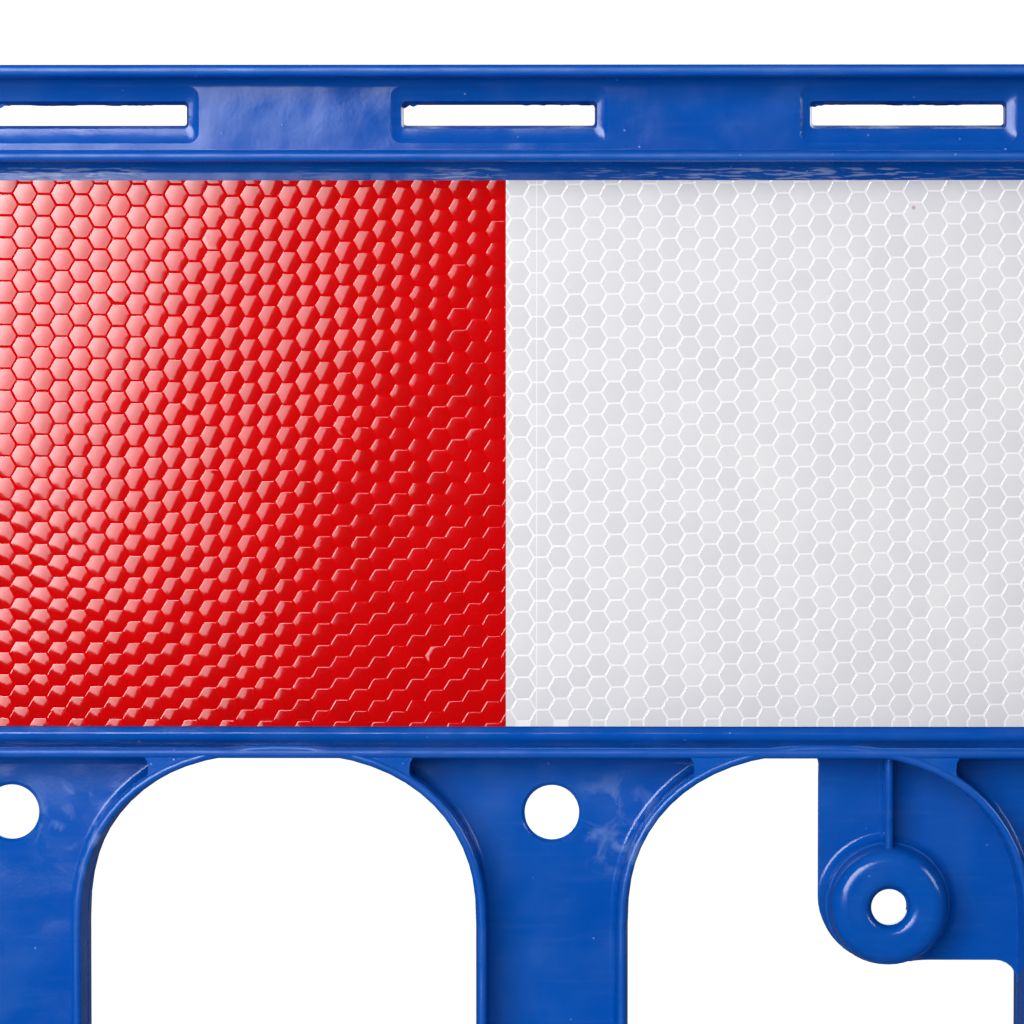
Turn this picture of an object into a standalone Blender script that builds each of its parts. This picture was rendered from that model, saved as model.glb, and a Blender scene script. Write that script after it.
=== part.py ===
"""A moulded plastic pedestrian barricade, 2 m long and 1 m high, on two swivelling feet.

Frame: +X along the barricade, -Y towards the front, +Z up, in metres.
The origin is on the ground, midway between the two ends and midway through the panel's thickness.
"""

import math

import bmesh
import bpy

# ---- the moulded panel ----
END_X = 0.970  # outer face of the end posts
TOP_Z = 1.000
BOTTOM_Z = 0.062
CORNER_RADIUS = 0.018
HALF_DEPTH = 0.016  # from the mid-plane to the front edge of the flanges
WEB_HALF = 0.002
FLANGE = 0.0029  # thickness of flanges and ribs
EDGE_FLANGE = 0.0032

# ---- rail along the top, with tie slots ----
RAIL_LOW_Z = 0.9766  # top of the flange under the rail
RAIL_HALF = 0.004
SLOT_Z = 0.9874
SLOT_FIRST_X = 0.0515
SLOT_PITCH = 0.112
SLOTS_PER_SIDE = 8
SLOT_LENGTH = 0.0535
SLOT_HEIGHT = 0.0076
FUNNEL_MARGIN = 0.0036  # how much wider the slot's funnel is at its mouth, on each side
FUNNEL_DEPTH = 0.0025

# ---- reflective board ----
BOARD_LOW_Z = 0.8141  # top of the flange under the board
SHEET_LOW_Z = 0.8190
SHEET_HIGH_Z = 0.9690
SHEET_THICKNESS = 0.0006
FIELD_LENGTH = 0.1617
FIELDS_PER_SIDE = 6
SHEET_END_X = 0.9630

# ---- lattice of openings ----
PITCH = 0.149
OPENINGS_PER_SIDE = 6
OPENING_HALF = 0.0538
ARCH_RISE = 0.045
FOOT_RISE = 0.030
SQUARENESS = 2.3  # exponent of the superellipse at an opening's ends
END_STEPS = 8
UPPER_LOW_Z, UPPER_HIGH_Z = 0.5655, 0.8119
LOWER_LOW_Z, LOWER_HIGH_Z = 0.2675, 0.5210
RIB_HALF_DEPTH = 0.0158
MID_RAIL_Z = (0.5201, 0.5640)  # lower flange's underside, upper flange's underside
TAPPING_RAIL_TOP_Z = 0.2620
HOLE_Z = 0.7956
HOLE_RADIUS = 0.0075
HOLE_SIDES = 12

# ---- sign bosses at the middle ----
BOSS_X, BOSS_Z = 0.058, 0.7712
BOSS_RADIUS = 0.0155
BOSS_BASE_RADIUS = 0.0170
BOSS_BORE_RADIUS = 0.0049
BOSS_RIB = 0.0022
BOSS_RIB_DEPTH = 0.0110

# ---- feet and their pivots ----
FOOT_X = 4 * PITCH
FOOT_HALF_LENGTH = 0.280
FOOT_HALF_WIDTH = 0.055
FOOT_TOE = 0.012
FOOT_SHOULDER = 0.046
HUB_RADIUS = 0.050
HUB_TOP_Z = 0.0583
BOLT_RADIUS = 0.0078
BORE_RADIUS = 0.0085
COUNTERBORE_RADIUS = 0.021
COUNTERBORE_Z = 0.020
HEX_RADIUS = 0.01385  # across the corners of a 24 mm hexagon
SLEEVE_RADIUS = 0.023
SLEEVE_TOP_Z = 0.182
POCKET_HALF = 0.034
POCKET_TOP_Z = 0.236
GAP = 0.0003
ROUND_SIDES = 24

# ---- hooks and eyes that link one barricade to the next ----
LINK_X = 0.986
LINK_RADIUS = 0.014
EYE_RADIUS = 0.010
EYE_HEIGHT = 0.025
ARM_HEIGHT = 0.018
PIN_RADIUS = 0.0085
PIN_TIP_RADIUS = 0.0065
PIN_LENGTH = 0.048
LINK_HEIGHTS = (0.150, 0.860)  # underside of each eye

COLOURS = {
    "blue_plastic": ((0.012, 0.10, 0.46), 0.35, 0.0),
    "red_sheeting": ((0.75, 0.01, 0.01), 0.25, 0.0),
    "white_sheeting": ((0.80, 0.80, 0.82), 0.25, 0.0),
    "recycled_rubber": ((0.025, 0.025, 0.027), 0.85, 0.0),
    "zinc_plate": ((0.62, 0.62, 0.60), 0.35, 1.0),
    "nylon": ((0.82, 0.81, 0.76), 0.45, 0.0),
}


def clear_scene():
    for obj in list(bpy.data.objects):
        bpy.data.objects.remove(obj, do_unlink=True)


def painted(name):
    """The material of that name, made on first use."""
    if name in bpy.data.materials:
        return bpy.data.materials[name]
    material = bpy.data.materials.new(name)
    material.use_nodes = True
    shader = material.node_tree.nodes["Principled BSDF"]
    colour, roughness, metallic = COLOURS[name]
    shader.inputs["Base Color"].default_value = (*colour, 1.0)
    shader.inputs["Roughness"].default_value = roughness
    shader.inputs["Metallic"].default_value = metallic
    return material


def finished(name, shape, place=(0, 0, 0)):
    """Turns a bmesh into an object at its place in the scene."""
    bmesh.ops.recalc_face_normals(shape, faces=shape.faces)
    mesh = bpy.data.meshes.new(name)
    shape.to_mesh(mesh)
    shape.free()
    obj = bpy.data.objects.new(name, mesh)
    obj.location = place
    bpy.context.scene.collection.objects.link(obj)
    return obj


def placed(axis, a, b, along):
    """A point with outline coordinates a and b, at a height along an axis."""
    return {"X": (along, a, b), "Y": (a, along, b), "Z": (a, b, along)}[axis]


def ring_of(shape, outline, axis, along):
    return [shape.verts.new(placed(axis, a, b, along)) for a, b in outline]


def join_rings(shape, one, other):
    """Walls between two rings of as many points."""
    count = len(one)
    for i in range(count):
        j = (i + 1) % count
        shape.faces.new((one[i], one[j], other[j], other[i]))


def loft(name, sections, axis):
    """A closed solid through (outline, height) sections of as many points, capped at both ends."""
    shape = bmesh.new()
    rings = [ring_of(shape, outline, axis, along) for outline, along in sections]
    for one, other in zip(rings, rings[1:]):
        join_rings(shape, one, other)
    shape.faces.new(rings[0])
    shape.faces.new(rings[-1])
    return finished(name, shape)


def prism(name, outline, axis, start, end):
    return loft(name, [(outline, start), (outline, end)], axis)


def frame_prism(name, outer, inner, axis, start, end):
    """A closed ring: an outer outline with an inner one cut through it, extruded along an axis."""
    shape = bmesh.new()
    rings = [
        ring_of(shape, outline, axis, along)
        for outline, along in ((outer, start), (inner, start), (inner, end), (outer, end))
    ]
    for one, other in zip(rings, rings[1:] + rings[:1]):
        join_rings(shape, one, other)
    return finished(name, shape)


def rectangle(left, right, low, high):
    return [(left, low), (right, low), (right, high), (left, high)]


def block(name, x, y, z):
    return prism(name, rectangle(x[0], x[1], z[0], z[1]), "Y", y[0], y[1])


def polygon(centre_a, centre_b, radius, sides):
    """A regular polygon, with a corner on the first axis."""
    turn = 2 * math.pi / sides
    return [
        (centre_a + radius * math.cos(turn * i), centre_b + radius * math.sin(turn * i))
        for i in range(sides)
    ]


def arc(centre_a, centre_b, radius, first, last, steps):
    """Points of an arc between two angles in degrees."""
    angles = [math.radians(first + (last - first) * i / steps) for i in range(steps + 1)]
    return [(centre_a + radius * math.cos(t), centre_b + radius * math.sin(t)) for t in angles]


def rounded_rectangle(left, right, low, high, radius, steps=4):
    return (
        arc(right - radius, high - radius, radius, 0, 90, steps)
        + arc(left + radius, high - radius, radius, 90, 180, steps)
        + arc(left + radius, low + radius, radius, 180, 270, steps)
        + arc(right - radius, low + radius, radius, 270, 360, steps)
    )


def superellipse_end(centre_x, centre_z, half_width, rise, way):
    """Half of a superellipse: over the top for way 1, and under the bottom for way -1."""
    points = []
    for step in range(END_STEPS + 1):
        angle = math.pi * step / END_STEPS
        across = math.copysign(abs(math.cos(angle)) ** (2 / SQUARENESS), math.cos(angle))
        up = abs(math.sin(angle)) ** (2 / SQUARENESS)
        points.append((centre_x + way * half_width * across, centre_z + way * rise * up))
    return points


def opening_outline(centre_x, low, high, grow=0.0):
    """An opening with an arch at its top and a flatter round end at its foot, grown on all sides."""
    half = OPENING_HALF + grow
    return superellipse_end(
        centre_x, high - ARCH_RISE, half, ARCH_RISE + grow, 1
    ) + superellipse_end(centre_x, low + FOOT_RISE, half, FOOT_RISE + grow, -1)


def combine(target, helpers, operation):
    """Adds one Boolean with a collection of helper objects, which are not nodes themselves."""
    group = bpy.data.collections.new(f"{target.name}_{len(target.modifiers)}")
    bpy.context.scene.collection.children.link(group)
    for helper in helpers:
        bpy.context.scene.collection.objects.unlink(helper)
        group.objects.link(helper)
        helper.hide_render = True
        helper.display_type = "WIRE"
    modifier = target.modifiers.new(operation.title(), "BOOLEAN")
    modifier.operation = operation
    modifier.operand_type = "COLLECTION"
    modifier.collection = group
    modifier.solver = "EXACT"


def finish_with(obj, material):
    """Gives a node its material and a shading that keeps flats flat and rounds smooth."""
    obj.data.materials.clear()
    obj.data.materials.append(painted(material))
    obj.data.shade_smooth()
    obj.data.set_sharp_from_angle(angle=math.radians(35))
    return obj


# ---- panel ----


def strut_places():
    last = OPENINGS_PER_SIDE
    return [PITCH * k for k in range(-last, last + 1)]


def opening_places():
    last = OPENINGS_PER_SIDE
    return [PITCH * (k + 0.5) for k in range(-last, last)]


def slot_places():
    steps = [SLOT_FIRST_X + SLOT_PITCH * k for k in range(SLOTS_PER_SIDE)]
    return [-x for x in reversed(steps)] + steps


def both_rows():
    return ((UPPER_LOW_Z, UPPER_HIGH_Z), (LOWER_LOW_Z, LOWER_HIGH_Z))


def panel_outline(inset):
    return rounded_rectangle(
        -END_X + inset, END_X - inset, BOTTOM_Z + inset, TOP_Z - inset, CORNER_RADIUS - inset
    )


def flanges():
    """The border round the panel, and the flanges that run along it."""
    parts = [
        frame_prism(
            "border", panel_outline(0), panel_outline(EDGE_FLANGE), "Y", -HALF_DEPTH, HALF_DEPTH
        )
    ]
    undersides = (
        RAIL_LOW_Z - FLANGE,
        BOARD_LOW_Z - FLANGE,
        MID_RAIL_Z[1],
        MID_RAIL_Z[0],
        TAPPING_RAIL_TOP_Z,
    )
    inner_x = END_X - EDGE_FLANGE / 2
    for low in undersides:
        parts.append(
            block(
                "flange",
                (-inner_x, inner_x),
                (-HALF_DEPTH + 0.0001, HALF_DEPTH - 0.0001),
                (low, low + FLANGE),
            )
        )
    return parts


def rail_web():
    inner_x = END_X - EDGE_FLANGE / 2
    return block(
        "rail_web",
        (-inner_x, inner_x),
        (-RAIL_HALF, RAIL_HALF),
        (RAIL_LOW_Z - FLANGE / 2, TOP_Z - EDGE_FLANGE / 2),
    )


def tapping_rail_ribs():
    """Upright ribs across the tapping rail, one under each strut but those over a foot."""
    parts = []
    for x in strut_places():
        if abs(abs(x) - FOOT_X) > PITCH / 4:
            parts.append(
                block(
                    "tapping_rib",
                    (x - FLANGE / 2, x + FLANGE / 2),
                    (-HALF_DEPTH + 0.002, HALF_DEPTH - 0.002),
                    (BOTTOM_Z + EDGE_FLANGE / 2, TAPPING_RAIL_TOP_Z + FLANGE / 2),
                )
            )
    return parts


def end_post_ribs():
    """Level ribs between each end flange and the last opening."""
    inner_x = OPENINGS_PER_SIDE * PITCH - (PITCH / 2 - OPENING_HALF) + FLANGE / 2
    levels = (0.345, 0.430, 0.650, 0.735)
    parts = []
    for side in (-1, 1):
        ends = sorted((side * inner_x, side * (END_X - EDGE_FLANGE / 2)))
        for z in levels:
            parts.append(
                block(
                    "post_rib",
                    ends,
                    (-HALF_DEPTH + 0.002, HALF_DEPTH - 0.002),
                    (z - FLANGE / 2, z + FLANGE / 2),
                )
            )
    return parts


def foot_sleeve(x):
    """The thick upright sleeve that a foot's bolt runs through."""
    return prism(
        "foot_sleeve",
        polygon(x, 0, SLEEVE_RADIUS, ROUND_SIDES),
        "Z",
        BOTTOM_Z,
        SLEEVE_TOP_Z,
    )


def pocket_outline(x, grow=0.0):
    """The window above a sleeve, where the nut is reached."""
    return rounded_rectangle(
        x - POCKET_HALF - grow,
        x + POCKET_HALF + grow,
        SLEEVE_TOP_Z - grow,
        POCKET_TOP_Z + grow,
        0.008 + grow,
    )


def through_cuts():
    """Cutters for the lattice openings and nut pockets, half a rib larger than the finished holes."""
    depth = 2 * HALF_DEPTH
    cuts = []
    for x in opening_places():
        for low, high in both_rows():
            cuts.append(
                prism("opening", opening_outline(x, low, high, FLANGE / 2), "Y", -depth, depth)
            )
    for side in (-1, 1):
        cuts.append(
            prism("pocket", pocket_outline(side * FOOT_X, FLANGE / 2), "Y", -depth, depth)
        )
    return cuts


def opening_rims():
    """The ribs that run round each opening and each nut pocket."""
    rims = []
    for x in opening_places():
        for low, high in both_rows():
            rims.append(
                frame_prism(
                    "rim",
                    opening_outline(x, low, high, FLANGE),
                    opening_outline(x, low, high),
                    "Y",
                    -RIB_HALF_DEPTH,
                    RIB_HALF_DEPTH,
                )
            )
    for side in (-1, 1):
        rims.append(
            frame_prism(
                "pocket_rim",
                pocket_outline(side * FOOT_X, FLANGE),
                pocket_outline(side * FOOT_X),
                "Y",
                -HALF_DEPTH + 0.0004,
                HALF_DEPTH - 0.0004,
            )
        )
    return rims


def sign_plate(side):
    """The web that fills an opening's upper inner corner, with its outer corner round the boss."""
    inner = PITCH / 2 - OPENING_HALF + 0.001
    top = UPPER_HIGH_Z - 0.0005
    corner = arc(BOSS_X, BOSS_Z, BOSS_BASE_RADIUS, 0, -90, 4)
    low = BOSS_Z - BOSS_BASE_RADIUS
    outline = [(BOSS_X + BOSS_BASE_RADIUS, top), *corner, (inner, low), (inner, top)]
    return prism(
        "sign_plate", [(side * x, z) for x, z in outline], "Y", -WEB_HALF, WEB_HALF
    )


def sign_boss(side):
    """A drafted boss on both faces of the panel."""
    wide = polygon(side * BOSS_X, BOSS_Z, BOSS_BASE_RADIUS - 0.0001, ROUND_SIDES)
    narrow = polygon(side * BOSS_X, BOSS_Z, BOSS_RADIUS, ROUND_SIDES)
    return loft(
        "sign_boss", [(narrow, -HALF_DEPTH - 0.0002), (wide, 0), (narrow, HALF_DEPTH + 0.0002)], "Y"
    )


def boss_rib(side):
    """The narrow rib from the arch down to the boss."""
    x = side * BOSS_X
    return block(
        "boss_rib",
        (x - BOSS_RIB / 2, x + BOSS_RIB / 2),
        (-BOSS_RIB_DEPTH, BOSS_RIB_DEPTH),
        (BOSS_Z + BOSS_RADIUS, 0.8105),
    )


def lug_outline(side):
    """A lug that grows out of an end post and ends in a half circle."""
    half_turn = arc(LINK_X, 0, LINK_RADIUS, -90, 90, 8)
    root = END_X - EDGE_FLANGE / 2
    return [
        (side * x, y) for x, y in [(root, -LINK_RADIUS), *half_turn, (root, LINK_RADIUS)]
    ]


def link_lugs():
    """Eyes on the right-hand end, and hooks that drop into a neighbour's eyes on the left."""
    lugs = []
    for low in LINK_HEIGHTS:
        high = low + EYE_HEIGHT
        lugs.append(prism("eye", lug_outline(1), "Z", low, high))
        arm_low = high + GAP
        lugs.append(prism("hook_arm", lug_outline(-1), "Z", arm_low, arm_low + ARM_HEIGHT))
        lugs.append(
            loft(
                "hook_pin",
                [
                    (polygon(-LINK_X, 0, PIN_TIP_RADIUS, ROUND_SIDES), arm_low - PIN_LENGTH),
                    (polygon(-LINK_X, 0, PIN_RADIUS, ROUND_SIDES), arm_low - PIN_LENGTH + 0.012),
                    (polygon(-LINK_X, 0, PIN_RADIUS, ROUND_SIDES), arm_low + ARM_HEIGHT / 2),
                ],
                "Z",
            )
        )
    return lugs


def slot_cuts():
    """Slots through the rail, each at the bottom of a funnel on both faces."""
    cuts = []
    half_length, half_height = SLOT_LENGTH / 2, SLOT_HEIGHT / 2
    mouth = RAIL_HALF + 0.001
    for x in slot_places():
        narrow = rectangle(
            x - half_length, x + half_length, SLOT_Z - half_height, SLOT_Z + half_height
        )
        flare = FUNNEL_MARGIN * (mouth - RAIL_HALF + FUNNEL_DEPTH) / FUNNEL_DEPTH
        wide = rectangle(
            x - half_length - flare,
            x + half_length + flare,
            SLOT_Z - half_height - flare,
            SLOT_Z + half_height + flare,
        )
        throat = RAIL_HALF - FUNNEL_DEPTH
        cuts.append(
            loft(
                "slot",
                [(wide, -mouth), (narrow, -throat), (narrow, throat), (wide, mouth)],
                "Y",
            )
        )
    return cuts


def round_cuts():
    """The strut holes, the boss bores, the bolt bores and the eyes' holes."""
    depth = 2 * HALF_DEPTH
    cuts = [
        prism("strut_hole", polygon(x, HOLE_Z, HOLE_RADIUS, HOLE_SIDES), "Y", -depth, depth)
        for x in strut_places()
    ]
    for side in (-1, 1):
        bore = polygon(side * BOSS_X, BOSS_Z, BOSS_BORE_RADIUS, HOLE_SIDES)
        cuts.append(prism("boss_bore", bore, "Y", -depth, depth))
        sleeve_bore = polygon(side * FOOT_X, 0, BORE_RADIUS, ROUND_SIDES)
        cuts.append(
            prism("sleeve_bore", sleeve_bore, "Z", BOTTOM_Z - 0.01, SLEEVE_TOP_Z + 0.01)
        )
    for low in LINK_HEIGHTS:
        hole = polygon(LINK_X, 0, EYE_RADIUS, ROUND_SIDES)
        cuts.append(prism("eye_hole", hole, "Z", low - 0.01, low + EYE_HEIGHT + 0.01))
    return cuts


def make_panel():
    panel = prism("panel_moulding", panel_outline(0.0001), "Y", -WEB_HALF, WEB_HALF)
    sleeves = [foot_sleeve(side * FOOT_X) for side in (-1, 1)]
    combine(
        panel,
        [*flanges(), rail_web(), *tapping_rail_ribs(), *end_post_ribs(), *sleeves],
        "UNION",
    )
    combine(panel, through_cuts(), "DIFFERENCE")
    bosses = [make(side) for make in (sign_plate, sign_boss, boss_rib) for side in (-1, 1)]
    combine(panel, [*opening_rims(), *bosses, *link_lugs()], "UNION")
    combine(panel, [*slot_cuts(), *round_cuts()], "DIFFERENCE")
    return finish_with(panel, "blue_plastic")


# ---- reflective sheeting ----


def field_edges():
    """Where one field of sheeting meets the next, from the left end to the right."""
    inner = [FIELD_LENGTH * k for k in range(1 - FIELDS_PER_SIDE, FIELDS_PER_SIDE)]
    return [-SHEET_END_X, *inner, SHEET_END_X]


def make_sheets():
    edges = field_edges()
    for face, way in (("front", -1), ("back", 1)):
        near = WEB_HALF + GAP
        depths = sorted((way * near, way * (near + SHEET_THICKNESS)))
        for i, (left, right) in enumerate(zip(edges, edges[1:])):
            colour = "red" if i % 2 == 0 else "white"
            sheet = block(
                f"{face}_{colour}_sheet_{i + 1:02d}",
                (left + GAP / 2, right - GAP / 2),
                depths,
                (SHEET_LOW_Z, SHEET_HIGH_Z),
            )
            finish_with(sheet, f"{colour}_sheeting")


# ---- feet ----


def foot_side_outline():
    """The foot seen from the side: low toes, ramps and a raised middle."""
    right = [
        (FOOT_HALF_LENGTH, 0),
        (FOOT_HALF_LENGTH, FOOT_TOE),
        (FOOT_HALF_LENGTH - 0.020, FOOT_TOE + 0.006),
        (0.105, FOOT_SHOULDER - 0.006),
        (0.080, FOOT_SHOULDER),
    ]
    return right + [(-y, z) for y, z in reversed(right)]


def make_foot(side, name):
    """A heavy foot that turns on the bolt, with its hub under the panel's sleeve."""
    x = side * FOOT_X
    plan = rounded_rectangle(
        x - FOOT_HALF_WIDTH, x + FOOT_HALF_WIDTH, -FOOT_HALF_LENGTH, FOOT_HALF_LENGTH, 0.030, 6
    )
    foot = prism(name, plan, "Z", 0, HUB_TOP_Z + 0.01)
    profile = prism(
        "foot_profile", foot_side_outline(), "X", x - 2 * FOOT_HALF_WIDTH, x + 2 * FOOT_HALF_WIDTH
    )
    combine(foot, [profile], "INTERSECT")
    hub_low = polygon(x, 0, HUB_RADIUS, 2 * ROUND_SIDES)
    hub_high = polygon(x, 0, HUB_RADIUS - 0.004, 2 * ROUND_SIDES)
    hub = loft(
        "hub", [(hub_low, 0.010), (hub_low, HUB_TOP_Z - 0.006), (hub_high, HUB_TOP_Z)], "Z"
    )
    combine(foot, [hub], "UNION")
    bore = prism("bore", polygon(x, 0, BORE_RADIUS, ROUND_SIDES), "Z", -0.01, HUB_TOP_Z + 0.01)
    counterbore = prism(
        "counterbore", polygon(x, 0, COUNTERBORE_RADIUS, ROUND_SIDES), "Z", -0.01, COUNTERBORE_Z
    )
    combine(foot, [bore, counterbore], "DIFFERENCE")
    finish_with(foot, "recycled_rubber")


def washer(name, x, low, thickness, radius, material):
    outer = polygon(x, 0, radius, ROUND_SIDES)
    inner = polygon(x, 0, BORE_RADIUS, ROUND_SIDES)
    finish_with(frame_prism(name, outer, inner, "Z", low, low + thickness), material)


def make_pivot(side, name):
    """The bolt, washers and lock nut that hold one foot under the panel."""
    x = side * FOOT_X
    head_washer = 0.003
    head_low = 0.006
    head_high = COUNTERBORE_Z - GAP - head_washer - GAP
    bolt = prism(f"{name}_pivot_bolt", polygon(x, 0, HEX_RADIUS, 6), "Z", head_low, head_high)
    shank = loft(
        "shank",
        [
            (polygon(x, 0, BOLT_RADIUS, ROUND_SIDES), head_high - 0.004),
            (polygon(x, 0, BOLT_RADIUS, ROUND_SIDES), 0.2045),
            (polygon(x, 0, BOLT_RADIUS - 0.0012, ROUND_SIDES), 0.2060),
        ],
        "Z",
    )
    combine(bolt, [shank], "UNION")
    finish_with(bolt, "zinc_plate")
    washer(f"{name}_head_washer", x, head_high + GAP, head_washer, 0.017, "zinc_plate")
    thrust_low = HUB_TOP_Z + GAP
    washer(
        f"{name}_thrust_washer", x, thrust_low, BOTTOM_Z - GAP - thrust_low, 0.024, "nylon"
    )
    top_washer = 0.003
    washer(f"{name}_nut_washer", x, SLEEVE_TOP_Z + GAP, top_washer, 0.015, "zinc_plate")
    nut_low = SLEEVE_TOP_Z + 2 * GAP + top_washer
    nut = prism(f"{name}_lock_nut", polygon(x, 0, HEX_RADIUS, 6), "Z", nut_low, nut_low + 0.0125)
    collar = prism(
        "collar", polygon(x, 0, 0.0105, ROUND_SIDES), "Z", nut_low + 0.010, nut_low + 0.0158
    )
    combine(nut, [collar], "UNION")
    thread = prism(
        "thread", polygon(x, 0, BOLT_RADIUS + GAP, ROUND_SIDES), "Z", nut_low - 0.01, nut_low + 0.03
    )
    combine(nut, [thread], "DIFFERENCE")
    finish_with(nut, "zinc_plate")


def main():
    clear_scene()
    make_panel()
    make_sheets()
    for side, name in ((-1, "left"), (1, "right")):
        make_foot(side, f"{name}_foot")
        make_pivot(side, name)


main()
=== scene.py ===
import math
import random

import bpy
import numpy as np
from mathutils import Matrix, Vector


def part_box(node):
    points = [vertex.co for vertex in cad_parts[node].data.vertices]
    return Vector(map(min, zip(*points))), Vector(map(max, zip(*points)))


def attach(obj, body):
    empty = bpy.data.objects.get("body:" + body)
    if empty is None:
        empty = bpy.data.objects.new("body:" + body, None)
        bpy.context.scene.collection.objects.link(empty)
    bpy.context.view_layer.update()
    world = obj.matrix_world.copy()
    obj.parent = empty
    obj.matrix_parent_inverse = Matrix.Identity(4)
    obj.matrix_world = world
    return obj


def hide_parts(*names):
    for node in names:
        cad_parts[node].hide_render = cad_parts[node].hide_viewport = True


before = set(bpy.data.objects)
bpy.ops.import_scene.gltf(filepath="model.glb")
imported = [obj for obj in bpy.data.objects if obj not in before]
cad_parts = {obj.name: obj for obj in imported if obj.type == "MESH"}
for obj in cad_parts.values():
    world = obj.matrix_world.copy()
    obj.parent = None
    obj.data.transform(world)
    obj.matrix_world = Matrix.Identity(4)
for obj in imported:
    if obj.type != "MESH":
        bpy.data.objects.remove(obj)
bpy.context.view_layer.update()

# ---- sizes that the pieces share, in metres ----
PANEL_LOW, PANEL_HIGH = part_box("panel_moulding")
END_X = 0.970
RIB_END = END_X - 0.0015
TOP_Z = PANEL_HIGH.z
BOTTOM_Z = PANEL_LOW.z
CORNER_RADIUS = 0.018
WEB_HALF = 0.002
FLANGE_DEPTH = 0.016
RIB_DEPTH = 0.0158
SHORT_RIB_DEPTH = FLANGE_DEPTH - 0.002
FRONT_ROUND = 0.0013
FLANGE = 0.0029
PITCH = 0.149
OPENING_HALF = 0.0536
ARCH_RISE = 0.0475
FOOT_RISE = 0.030
SQUARENESS = 2.3
WALL_DRAFT = 0.0005
PARTING_STEP = 0.00014
UPPER_ROW = (0.5655, 0.8120)
LOWER_ROW = (0.2675, 0.5210)
RAIL_FLANGE_TOP = 0.9766
BOARD_FLANGE_TOP = 0.8141
MID_FLANGES = (0.5201, 0.5640)
BASE_FLANGE_TOP = 0.2649
SLOT_Z = 0.9869
SLOT_FIRST, SLOT_PITCH, SLOT_HALF_HEIGHT = 0.0515, 0.112, 0.0038
HOLE_Z, HOLE_RADIUS = 0.7952, 0.0075
BOSS_X, BOSS_Z = 0.0568, 0.7704
PLATE_EDGE, PLATE_LOW = 0.0756, 0.7546
FOOT_X = 4 * PITCH
POCKET_HALF, POCKET_LOW, POCKET_HIGH, POCKET_CORNER = 0.034, 0.182, 0.236, 0.008
LINK_X, LINK_RADIUS, LINK_LOWS = 0.986, 0.014, (0.150, 0.860)
PIN_RADIUS, EYE_RADIUS = 0.0085, 0.010
BORE_RADIUS, SLEEVE_RADIUS = 0.0085, 0.023
BOLT_RADIUS, THREAD_ROOT, THREAD_PITCH = 0.0078, 0.0068, 0.0015
HEX_CORNER, NUT_BORE = 0.01385, 0.0081
FOOT_FLAT = 0.060

# ---- modelling limits and directions ----
SAME_POINT = 1e-6
CUT_REACH = 0.03
SIDES = (-1, 1)
AXES = {"X": Vector((1, 0, 0)), "Y": Vector((0, 1, 0)), "Z": Vector((0, 0, 1))}


# ---- camera ----


def aim(obj, place, target, roll=0.0):
    """Places a camera or a light and turns it to face a point."""
    obj.location = place
    turn = (Vector(target) - Vector(place)).to_track_quat("-Z", "Y")
    obj.rotation_euler = (turn.to_matrix() @ Matrix.Rotation(roll, 3, "Z")).to_euler()


def add_camera():
    bpy.ops.object.camera_add()
    camera = bpy.context.object
    camera.name = "camera"
    camera.data.lens = 170.6
    camera.data.sensor_width = 36.0
    camera.data.clip_start = 0.05
    camera.data.clip_end = 200.0
    aim(camera, (-0.1450, -1.335, 0.9240), (-0.1600, -0.002, 0.8780))
    bpy.context.scene.camera = camera


# ---- hand tools ----


def deselect_all():
    bpy.ops.object.select_all(action="DESELECT")


def pick(obj):
    deselect_all()
    obj.select_set(True)
    bpy.context.view_layer.objects.active = obj


def edit(obj, mode="FACE"):
    pick(obj)
    bpy.ops.object.mode_set(mode="EDIT")
    bpy.ops.mesh.select_mode(type=mode)


def edit_all(obj, mode="FACE"):
    edit(obj, mode)
    bpy.ops.mesh.select_all(action="SELECT")


def leave_edit():
    bpy.ops.object.mode_set(mode="OBJECT")


def apply_modifier(obj, kind, **settings):
    pick(obj)
    modifier = obj.modifiers.new(kind.title(), kind)
    for name, value in settings.items():
        setattr(modifier, name, value)
    bpy.ops.object.modifier_apply(modifier=modifier.name)


def drop(obj):
    pick(obj)
    bpy.ops.object.delete()


def copy_of(obj):
    pick(obj)
    bpy.ops.object.duplicate(linked=False)
    return bpy.context.object


def shift(obj, offset):
    """Moves a finished shape, and keeps its object at the origin."""
    obj.data.transform(Matrix.Translation(offset))


def join(objects):
    """Puts several solids in one object."""
    deselect_all()
    for obj in objects:
        obj.select_set(True)
    bpy.context.view_layer.objects.active = objects[0]
    bpy.ops.object.join()
    return objects[0]


def merge(obj, tools, operation, solver="MANIFOLD"):
    """Adds solids to a shape, or cuts them out of it, one after another."""
    for tool in tools:
        apply_modifier(obj, "BOOLEAN", operation=operation, object=tool, solver=solver)
        drop(tool)
    return obj


def flat_face(name, points, across="Y"):
    """A flat face across an axis: a circle whose corners are moved to an outline."""
    bpy.ops.mesh.primitive_circle_add(vertices=len(points), radius=1, fill_type="NGON")
    face = bpy.context.object
    face.name = name
    for vertex, (a, b) in zip(face.data.vertices, points):
        vertex.co = {"X": (0, a, b), "Y": (a, 0, b), "Z": (a, b, 0)}[across]
    face.data.update()
    wanted = -AXES["Y"] if across == "Y" else AXES[across]
    if face.data.polygons[0].normal.dot(wanted) < 0:
        edit_all(face)
        bpy.ops.mesh.flip_normals()
        leave_edit()
    return face


def push_out(distance):
    """Extrudes the selected face along its normal."""
    bpy.ops.mesh.extrude_region_shrink_fatten(TRANSFORM_OT_shrink_fatten={"value": distance})


def work_inwards(steps):
    """Insets the selected face again and again: each step goes in by one size and out by another."""
    for inward, outward in steps:
        if inward == 0:
            push_out(outward)
        else:
            bpy.ops.mesh.inset(thickness=inward, depth=outward, use_even_offset=True)


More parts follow.
